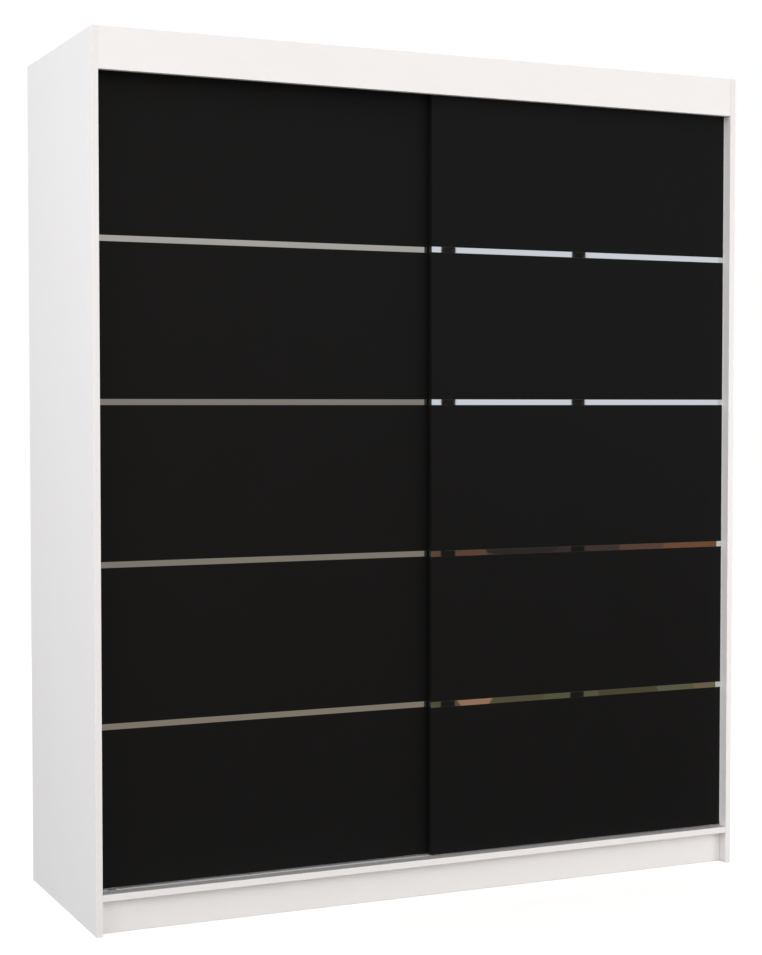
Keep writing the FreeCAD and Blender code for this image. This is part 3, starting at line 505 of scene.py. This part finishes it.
# %% [markdown]
# ## Loose shelves and mirror strips as rounded boxes
#
# A board with no bores needs no CAD mesh. It is a rounded box: rings of points, one above the
# other, where each ring is a rectangle with round corners. A ball of the arris radius, rolled
# round inside the box's corners, gives every point, and the way from the ball's centre to the
# point is exactly the surface's normal. Handing those normals to the mesh makes the broad faces
# shade perfectly flat and the arris perfectly round, with very few points.

# %% Rounded box
def rounded_box(name, low, high, radius, steps):
    """Rings of a rounded box. Corner centres are inset by the radius; a point is its corner's centre
    plus radius * (cos(lift) cos(turn), cos(lift) sin(turn), sin(lift)), with turn going round in
    quarter circles and lift from -90 to 0 degrees below, then 0 to 90 above."""
    low, high = np.array(low, float), np.array(high, float)
    middle, half = (low + high) / 2, (high - low) / 2 - radius
    quarter = np.linspace(0, np.pi / 2, steps + 1)
    turn = (quarter + np.arange(4)[:, None] * np.pi / 2).ravel()
    side = np.repeat([[1, 1], [-1, 1], [-1, -1], [1, -1]], steps + 1, axis=0)
    lift = np.concatenate([quarter - np.pi / 2, quarter])[:, None]
    level = np.repeat([-1, 1], steps + 1)[:, None]
    x = middle[0] + side[:, 0] * half[0] + radius * np.cos(lift) * np.cos(turn)
    y = middle[1] + side[:, 1] * half[1] + radius * np.cos(lift) * np.sin(turn)
    z = middle[2] + level * half[2] + radius * np.sin(lift) + 0 * turn
    points = np.stack([x, y, z], -1)
    rows, columns = x.shape
    corners = np.arange(4) * (steps + 1)
    caps = np.array([corners[::-1], (rows - 1) * columns + corners])
    faces = np.concatenate([grid_faces(rows, columns, False, True), caps])
    mesh = mesh_of(name, points, faces)
    inner = np.clip(points_of(mesh), low + radius, high - radius)
    normals = (points_of(mesh) - inner) / radius
    mesh.shade_smooth()
    mesh.normals_split_custom_set_from_vertices(normals.tolist())
    return mesh


print("a rounded box of 3 steps has", 2 * (3 + 1), "rings of", 4 * (3 + 1), "points")

# %% Loose shelves
for number in range(1, 5):
    node = f"loose_shelf_{number}"
    mesh = rounded_box(node + "_mesh", *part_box(node), BAND_RADIUS_MM * MM, 3)
    normals = facing(mesh)
    kinds = np.where(np.abs(normals[:, 2]) > 0.7, 0, np.where(normals[:, 1] > 0.7, 2, 1))
    mesh.polygons.foreach_set("material_index", kinds.astype(np.int32))
    piece(mesh, node + "_finished", "carcass", WHITE_BOARD, node)
print("loose shelves: 4, each of", len(mesh.polygons), "faces")

# %% Mirror strips
for door in DOORS:
    for number in range(1, 5):
        node = f"{door}_mirror_strip_{number}"
        mesh = rounded_box(node + "_mesh", *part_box(node), FINE_ARRIS_MM * MM, 2)
        normals = facing(mesh)
        mesh.polygons.foreach_set("material_index", (normals[:, 1] > -0.95).astype(np.int32))
        piece(mesh, node + "_finished", door, ("mirror", "glass_edge"), node)
print("mirror strips: 8, each of", len(mesh.polygons), "faces")

# %% [markdown]
# ## The hanging rail
#
# The rail is an oval steel tube, and its cut ends were turned over into a round lip. The wall of
# such a tube, seen in section, is a long thin loop: out along the outer face, round the lip, back
# along the bore and round the other lip. Carrying that loop round the oval gives the whole tube
# with no open edge, as a stretched ring.

# %% Oval tube
def oval_tube(name, low, high, wall, around=48, lip=6):
    """Loop of the wall carried round an upright oval. The loop is (along x, inset): two straight runs
    joined by half circles of radius wall / 2. At a turn t the point is (radius - inset) *
    (cos t, sin t) about the upper or lower centre, which lie apart by the oval's straight part."""
    low, high = np.array(low), np.array(high)
    radius = (high[1] - low[1]) / 2
    straight = (high[2] - low[2]) / 2 - radius
    arc = np.linspace(0, np.pi, lip + 1)
    far_x, far_inset = high[0] - wall / 2 + wall / 2 * np.sin(arc), wall / 2 * (1 - np.cos(arc))
    near_x, near_inset = low[0] + wall / 2 - wall / 2 * np.sin(arc), wall / 2 * (1 + np.cos(arc))
    x, inset = np.append(far_x, near_x)[:, None], np.append(far_inset, near_inset)[:, None]
    turn = (np.arange(around) + 0.5) * 2 * np.pi / around
    y = (low[1] + high[1]) / 2 + (radius - inset) * np.cos(turn)
    z = (low[2] + high[2]) / 2 + (radius - inset) * np.sin(turn) + straight * np.sign(np.sin(turn))
    points = np.stack([x + 0 * turn, y, z], -1)
    return mesh_of(name, points, grid_faces(*x.shape[:1], around, True, True))


mesh = oval_tube("hanging_rail_mesh", *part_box("hanging_rail"), 1.2 * MM)
mesh.shade_smooth()
mesh.set_sharp_from_angle(angle=math.radians(50))
piece(mesh, "hanging_rail_finished", "carcass", ("chrome",), "hanging_rail")
print("hanging rail:", len(mesh.polygons), "faces")

# %% [markdown]
# ## Brushes on the doors' edges
#
# The light line beside each closed door is a brush: a slim bright aluminium carrier on the door's
# edge, with a lip in front, and pile that reaches for the side board and keeps dust out. Single
# hairs would be far too many, so each tuft is one small tapered block of eight points, leaning a
# little its own way. Three rows of them, every 2.5 mm up the door, are worked out as one array
# and never loop over a point.

# %% Tufts of a brush
CARRIER = 1.3 * MM
LIP = (2.1 * MM, 1.0 * MM)          # how far it reaches over the pile, and how thick it is
TUFT_PITCH = 2.5 * MM
TUFT_ROWS = 3
FOOT_SHARE, TIP_SHARE = 0.98, 0.55  # width of a tuft's foot and tip, as shares of its place
LEAN_SHARE = 0.4                    # most that a tip leans, as a share of half its place
SHORTEST = 0.2 * MM                 # most that a tuft falls short of the rest


def tufts(low, high, way, seed):
    """Tapered blocks from the carrier to the tips. A tuft's foot is a rectangle that nearly fills its
    place on the carrier; its tip is a smaller one, moved by the tuft's own lean."""
    rng = np.random.default_rng(seed)
    count = int((high[2] - low[2]) / TUFT_PITCH)
    z = low[2] + (np.arange(count) + 0.5) * (high[2] - low[2]) / count
    y = low[1] + (np.arange(TUFT_ROWS) + 0.5) * (high[1] - low[1]) / TUFT_ROWS
    foot_y, foot_z = (k.ravel() for k in np.meshgrid(y, z, indexing="ij"))
    half_y, half_z = (high[1] - low[1]) / TUFT_ROWS / 2, TUFT_PITCH / 2
    lean_y, lean_z = rng.uniform(-LEAN_SHARE, LEAN_SHARE, (2, foot_y.size)) * [[half_y], [half_z]]
    foot_x, tip_x = (low[0] + CARRIER, high[0]) if way > 0 else (high[0] - CARRIER, low[0])
    shorter = rng.uniform(0.0, SHORTEST, foot_y.size) * way
    signs = np.array([[-1, -1], [1, -1], [1, 1], [-1, 1]])
    foot = np.stack([np.full((foot_y.size, 4), foot_x),
                     foot_y[:, None] + signs[:, 0] * half_y * FOOT_SHARE,
                     foot_z[:, None] + signs[:, 1] * half_z * FOOT_SHARE], -1)
    tip = np.stack([np.repeat((tip_x - shorter)[:, None], 4, 1),
                    (foot_y + lean_y)[:, None] + signs[:, 0] * half_y * TIP_SHARE,
                    (foot_z + lean_z)[:, None] + signs[:, 1] * half_z * TIP_SHARE], -1)
    points = np.concatenate([foot, tip], 1)
    box = np.array([[0, 1, 5, 4], [1, 2, 6, 5], [2, 3, 7, 6], [3, 0, 4, 7], [4, 5, 6, 7], [3, 2, 1, 0]])
    faces = (np.arange(foot_y.size)[:, None, None] * 8 + box).reshape(-1, 4)
    return points.reshape(-1, 3), faces


print("tufts in a metre of brush:", TUFT_ROWS * round(1 / TUFT_PITCH))

# %% Brushes
for door, way, seed in (("left_door", -1, 8), ("right_door", 1, 5)):
    low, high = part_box(door + "_brush")
    points, faces = tufts((low[0], low[1] + LIP[1], low[2]), high, way, seed)
    pile = mesh_of(door + "_pile_mesh", points, faces)
    piece(pile, door + "_brush_pile", door, ("pile",), door + "_brush")
    for part, reach, front, back in (("carrier", CARRIER, low[1] + LIP[1], high[1]),
                                     ("lip", LIP[0], low[1], low[1] + LIP[1])):
        near, far = (low[0], low[0] + reach) if way > 0 else (high[0] - reach, high[0])
        bar = rounded_box(f"{door}_{part}_mesh", (near, front, low[2]), (far, back, high[2]),
                          0.2 * MM, 2)
        piece(bar, f"{door}_brush_{part}", door, ("carrier",), door + "_brush")
    print(f"{door} brush: {len(pile.polygons) // 6} tufts")

# %% [markdown]
# ## The back
#
# The four sheets of the back keep their nail holes, so they come from CAD, welded as before. Their
# front is lacquered and the rest is brown.

# %% Back sheets
NO_ARRIS_MM = 1e6                   # longer than any edge, so thin sheets keep all theirs sharp
for node in sorted(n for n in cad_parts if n.startswith("back_sheet")):
    mesh = whole_faces(node)
    weigh_edges(mesh, NO_ARRIS_MM)
    kinds = np.where(facing(mesh)[:, 1] < -0.99, 0, 1)
    mesh.polygons.foreach_set("material_index", kinds.astype(np.int32))
    piece(mesh, node + "_finished", "carcass", ("lacquer", "hardboard"), node)
print("back sheets: 4")

# %% [markdown]
# ## Fittings that keep their CAD shape
#
# Tracks, rollers, cams and screws were modelled to the tenth of a millimetre, and need a finish
# only. The tracks are long extrusions that lie in the light, so they also get a fine arris.

# %% Tracks
TRACK_ARRIS_MM = 0.2
LONG_EDGE_MM = 100.0                # only the edges along the extrusion are rounded
for node in ("lower_track", "upper_track"):
    mesh = whole_faces(node)
    weigh_edges(mesh, LONG_EDGE_MM)
    track = piece(mesh, node + "_finished", "carcass", ("aluminium",), node)
    round_arris(track, TRACK_ARRIS_MM, 2)
    print(f"{node}: {len(mesh.polygons)} faces")

# %% Finishes for the fittings
FITTINGS = {
    "zinc_casting": ("rail_sockets", "cam_locks"),
    "zinc_steel": ("rail_socket_screws", "wall_brackets", "wall_bracket_screws", "track_screws",
                   "cam_bolts", "back_nails", "shelf_pins", "left_door_axles", "right_door_axles",
                   "left_door_height_screws", "right_door_height_screws"),
    "grey_nylon": ("left_door_roller_housings", "right_door_roller_housings", "track_stops"),
    "white_acetal": ("left_door_wheel_left", "left_door_wheel_right", "right_door_wheel_left",
                     "right_door_wheel_right"),
    "black_nylon": ("left_door_top_guides", "right_door_top_guides"),
    "white_pvc": ("back_joint_strips",),
    "beech": ("dowels",),
}
for key, nodes in FITTINGS.items():
    for node in nodes:
        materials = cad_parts[node].data.materials
        materials.clear()
        materials.append(FINISH[key])
left_bare = [n for n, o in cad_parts.items()
             if not o.hide_render and n not in sum(FITTINGS.values(), ())]
print("CAD parts without a finish:", left_bare)

# %% [markdown]
# ## The room
#
# The studio is a white dome that only the camera sees, a pale floor that fades into it, and soft
# lamps. The dome doesn't light the wardrobe or show in its mirrors, so the lamps and the dim
# surroundings alone decide how bright each face is: white boards near white, black doors still
# black. The floor is a disc whose rim turns clear, so it has no horizon.

# %% Tools for the room, and its dome
def stage_object(name, mesh, material):
    """Shows a mesh as part of the room."""
    mesh.materials.append(material)
    shown = bpy.data.objects.new(name, mesh)
    bpy.context.scene.collection.objects.link(shown)
    return shown


def bare_material(name):
    """A material and its node tree, with no nodes in it."""
    material = bpy.data.materials.new(name)
    material.use_nodes = True
    material.node_tree.nodes.clear()
    return material, material.node_tree


def hide_from(shown, *rays):
    """Makes a part of the room invisible to the named kinds of ray."""
    for ray in rays:
        setattr(shown, "visible_" + ray, False)


def sphere(name, radius, rows=48, columns=96):
    """Rows from pole to pole: radius * (sin down cos round, sin down sin round, cos down)."""
    down = np.linspace(0, np.pi, rows)[:, None]
    turn = np.arange(columns) * 2 * np.pi / columns
    ball = [np.sin(down) * np.cos(turn), np.sin(down) * np.sin(turn), np.cos(down) + 0 * turn]
    return mesh_of(name, radius * np.stack(ball, -1), grid_faces(rows, columns, False, True))


DOME_RADIUS = 16.0
material, tree = bare_material("studio_dome")
# Gives the eye: a plain white all round, with no corner or shade in it.
glow = add(tree, "ShaderNodeEmission", {"Color": hex_linear("#ffffff"), "Strength": 1.0})
add(tree, "ShaderNodeOutputMaterial", {"Surface": glow.outputs[0]})
dome = stage_object("studio_dome", sphere("studio_dome_mesh", DOME_RADIUS), material)
hide_from(dome, "diffuse", "glossy", "transmission", "shadow", "volume_scatter")
print("dome:", len(dome.data.polygons), "faces")

# %% Floor
FLOOR_FADE = (2.2, 6.0)       # metres from the middle where the floor starts and ends its fade
FLOOR_RADIUS, RINGS, SPOKES = 6.2, 24, 96
FLOOR_DROP = 0.5 * MM         # keeps the undersides of the boards out of the floor's own plane
tree, skin, place = new_finish("floor", "studio_floor_painted", IOR=1.45,
                               Specular_IOR_Level=0.1)
speckle = add(tree, "ShaderNodeTexNoise", {"Vector": place, "Scale": per_metre(4), "Detail": 2.0})
# Gives the eye: a matt near-white that fades out before it ends.
dress(tree, skin, speckle, ("#dededc", "#e3e3e1"), speckle, (0.8, 0.9), speckle, 0.05)
skin.inputs["Emission Color"].default_value = hex_linear("#ffffff")
skin.inputs["Emission Strength"].default_value = 0.43     # lit from below, as a light table is
far = add(tree, "ShaderNodeVectorMath", {0: place}, operation="LENGTH")
solid = add(tree, "ShaderNodeMapRange", {"Value": far.outputs["Value"], "From Min": FLOOR_FADE[0],
                                         "From Max": FLOOR_FADE[1], "To Min": 1.0, "To Max": 0.0},
            interpolation_type="SMOOTHSTEP")
tree.links.new(solid.outputs[0], skin.inputs["Alpha"])
ring = np.linspace(0, FLOOR_RADIUS, RINGS)[:, None]
turn = np.arange(SPOKES) * 2 * np.pi / SPOKES
disc = np.stack([ring * np.cos(turn), ring * np.sin(turn), 0 * ring * turn - FLOOR_DROP], -1)
mesh = mesh_of("studio_floor_mesh", disc, grid_faces(RINGS, SPOKES, False, True))
floor = stage_object("studio_floor", mesh, FINISH["floor"])
# The floor's white would light the boards from below and shine in the doors.
hide_from(floor, "diffuse", "glossy")
print("floor:", len(mesh.polygons), "faces")

# %% [markdown]
# ## What the mirrors see
#
# A mirror strip has no colour of its own. It needs a room in front of it, and here that is one
# card, 2 m in front of the doors, that only reflections can see. It glows like the far wall of a
# plain living room: a grey-brown wall, lightest at head height, and a wide window of pale
# daylight whose two dark uprights run down to the floor. Below the sill the room is dim, and what
# stands there is left as random cells of colour: dark browns, and from knee height down, where
# the lamps reach, lighter browns and olives.

# %% Measures and tones of that room
CARD_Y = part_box("right_door_board")[0][1] - 2.0
CARD_X, CARD_Z = (-4.5, 4.5), (0.0, 3.8)
CARD_GRID = 9
WINDOW = (0.97, 2.75)               # left and right sides, in metres
SILL, HEAD = 1.0, 2.2
UPRIGHT, PANE = 0.06, 0.50          # widths of an upright and of the pane between the two
UPRIGHT_AT = 1.01                   # left side of the first
LAMPLIT = 0.42                      # height below which the things are lit
THINGS_MM = 250
WALL = ((0.0, "#7e7368"), (0.33, "#7c7570"), (0.5, "#a8a29f"), (0.65, "#848280"), (0.85, "#4a4948"))
LIT_THINGS = ((0.2, "#4a4332"), (0.45, "#5b5a45"), (0.65, "#97705a"))
DIM_THINGS = ((0.2, "#2e2725"), (0.5, "#4b3b37"), (0.8, "#6b4836"))
DAYLIGHT, FRAME = hex_linear("#cacbd4"), hex_linear("#1b1918")
print("window:", round(WINDOW[1] - WINDOW[0], 2), "m wide,", round(HEAD - SILL, 2), "m high")


# %% Colours of the card
def past(tree, distance, edge, before, after):
    """One colour up to an edge along a distance, and another past it: the comparison gives 0 or 1,
    and that is the share of the second colour."""
    beyond = add(tree, "ShaderNodeMath", {0: distance, 1: edge}, operation="GREATER_THAN")
    return add(tree, "ShaderNodeMix", {"Factor": beyond.outputs[0], 6: before, 7: after},
               data_type="RGBA").outputs[2]


material, tree = bare_material("room_reflection_card")
place = add(tree, "ShaderNodeTexCoord").outputs["Object"]
axes = add(tree, "ShaderNodeSeparateXYZ", {0: place})
along, height = axes.outputs[0], axes.outputs[2]
rise = add(tree, "ShaderNodeMath", {0: height, 1: CARD_Z[1]}, operation="DIVIDE")
things = add(tree, "ShaderNodeTexVoronoi", {"Vector": place, "Scale": per_metre(THINGS_MM)})
pick = add(tree, "ShaderNodeRGBToBW", {0: things.outputs["Color"]})
scales = []
for share, tones in ((rise, WALL), (pick, LIT_THINGS), (pick, DIM_THINGS)):
    scale = add(tree, "ShaderNodeValToRGB", {0: share.outputs[0]})
    stops = scale.color_ramp.elements
    while len(stops) < len(tones):
        stops.new(1.0)
    for stop, (at, code) in zip(stops, tones):
        stop.position, stop.color = at, hex_linear(code)
    scales.append(scale.outputs[0])
wall, lit, dim = scales
below = past(tree, height, LAMPLIT, lit, dim)
outside = past(tree, height, SILL, below, DAYLIGHT)
window = outside
for left in (UPRIGHT_AT, UPRIGHT_AT + UPRIGHT + PANE):
    window = past(tree, along, left, window, FRAME)
    window = past(tree, along, left + UPRIGHT, window, outside)
window = past(tree, height, HEAD, window, wall)
view_colour = past(tree, along, WINDOW[1], past(tree, along, WINDOW[0], wall, window), wall)
# Gives the eye: browns and greys in the left door's strips, daylight and dark bars in the right's.
glow = add(tree, "ShaderNodeEmission", {"Color": view_colour, "Strength": 1.1})
add(tree, "ShaderNodeOutputMaterial", {"Surface": glow.outputs[0]})
print("card colours:", len(tree.nodes), "nodes,", len(scales), "tone scales")

# %% Card
x, z = np.meshgrid(*(np.linspace(*limits, CARD_GRID) for limits in (CARD_X, CARD_Z)))
mesh = mesh_of("room_card_mesh", np.stack([x, 0 * x + CARD_Y, z], -1),
               grid_faces(CARD_GRID, CARD_GRID, False, False))
card = stage_object("room_card", mesh, material)
hide_from(card, "camera", "diffuse", "transmission", "shadow", "volume_scatter")
print("room card:", len(mesh.polygons), "faces, at y", round(CARD_Y, 3))

# %% [markdown]
# ## Lamps
#
# Two wide lamps in front light the doors and the fascia. Two on the left light the side board, one
# from above and one from below, so it comes out nearly as light as the front. A low one on the
# right fills the plinth, and one behind keeps the back readable when the camera goes round. Size
# makes a lamp soft: each is metres wide. A dim sky, paler above the horizon, fills the shadows.

# %% Lamps and sky
AIM = np.array([0.0, 0.0, 1.1])     # the lamps face the middle of the wardrobe


def soft_lamp(name, place, size, watts, tone):
    """A square area lamp at a place, turned to face the wardrobe: its own -Z axis points along the
    way there, so it is tipped up from straight down by atan2(level part, drop), then turned."""
    lamp = bpy.data.lights.new(name, "AREA")
    lamp.shape = "SQUARE"
    lamp.size = size
    lamp.energy = watts
    lamp.color = hex_linear(tone)[:3]
    shown = bpy.data.objects.new(name, lamp)
    shown.location = place
    way = AIM - np.array(place)
    flat = math.hypot(way[0], way[1])
    shown.rotation_euler = (math.atan2(flat, -way[2]), 0.0, math.atan2(-way[0], way[1]))
    shown.visible_camera = False
    bpy.context.scene.collection.objects.link(shown)
    return shown


soft_lamp("front_lamp", (0.9, -5.5, 2.2), 3.0, 57, "#fff9f8")
soft_lamp("front_high_lamp", (-2.2, -5.0, 4.0), 2.5, 50, "#fffbf9")
soft_lamp("high_left_lamp", (-5.2, -0.8, 2.8), 2.5, 86, "#fafaff")
soft_lamp("low_left_lamp", (-5.0, -3.1, 1.2), 2.5, 48, "#fff6f0")
low_right = soft_lamp("low_right_lamp", (3.1, -3.6, 0.5), 1.6, 60, "#fff6ef")
low_right.visible_glossy = False      # it only fills the plinth: no highlight on the doors
soft_lamp("rear_lamp", (2.5, 4.8, 3.0), 3.0, 160, "#ffffff")

world = bpy.data.worlds.new("dim_surroundings")
bpy.context.scene.world = world
world.use_nodes = True
world.node_tree.nodes.clear()
tree = world.node_tree
upward = add(tree, "ShaderNodeSeparateXYZ", {0: add(tree, "ShaderNodeTexCoord").outputs["Generated"]})
rise = add(tree, "ShaderNodeMapRange", {"Value": upward.outputs[2], "From Min": -0.05, "From Max": 0.15,
                                        "To Min": 0.20, "To Max": 0.74})
sky = add(tree, "ShaderNodeBackground", {"Color": hex_linear("#ffffff"), "Strength": rise.outputs[0]})
add(tree, "ShaderNodeOutputWorld", {"Surface": sky.outputs[0]})
bpy.context.scene.view_settings.view_transform = "Standard"

# %% [markdown]
# ## The camera
#
# It stands 4.3 m in front of the wardrobe and 2.1 m to its left, at chest height, and turns to the
# right to face it. A 71.5 mm lens from there keeps the uprights almost parallel.

# %% Camera
CAMERA_X, CAMERA_BACK, CAMERA_Z = -2.130, 4.326, 1.262
TILT_DOWN, TURN_RIGHT = 2.20, 24.49       # degrees
lens = bpy.data.cameras.new("camera")
lens.lens = 71.50
lens.sensor_width = 36.0
lens.sensor_fit = "AUTO"
camera = bpy.data.objects.new("camera", lens)
camera.location = (CAMERA_X, cad_box[0][1] - CAMERA_BACK, CAMERA_Z)
camera.rotation_euler = (math.radians(90 - TILT_DOWN), 0.0, math.radians(-TURN_RIGHT))
bpy.context.scene.collection.objects.link(camera)
bpy.context.scene.camera = camera
print("camera at", [round(v, 3) for v in camera.location])
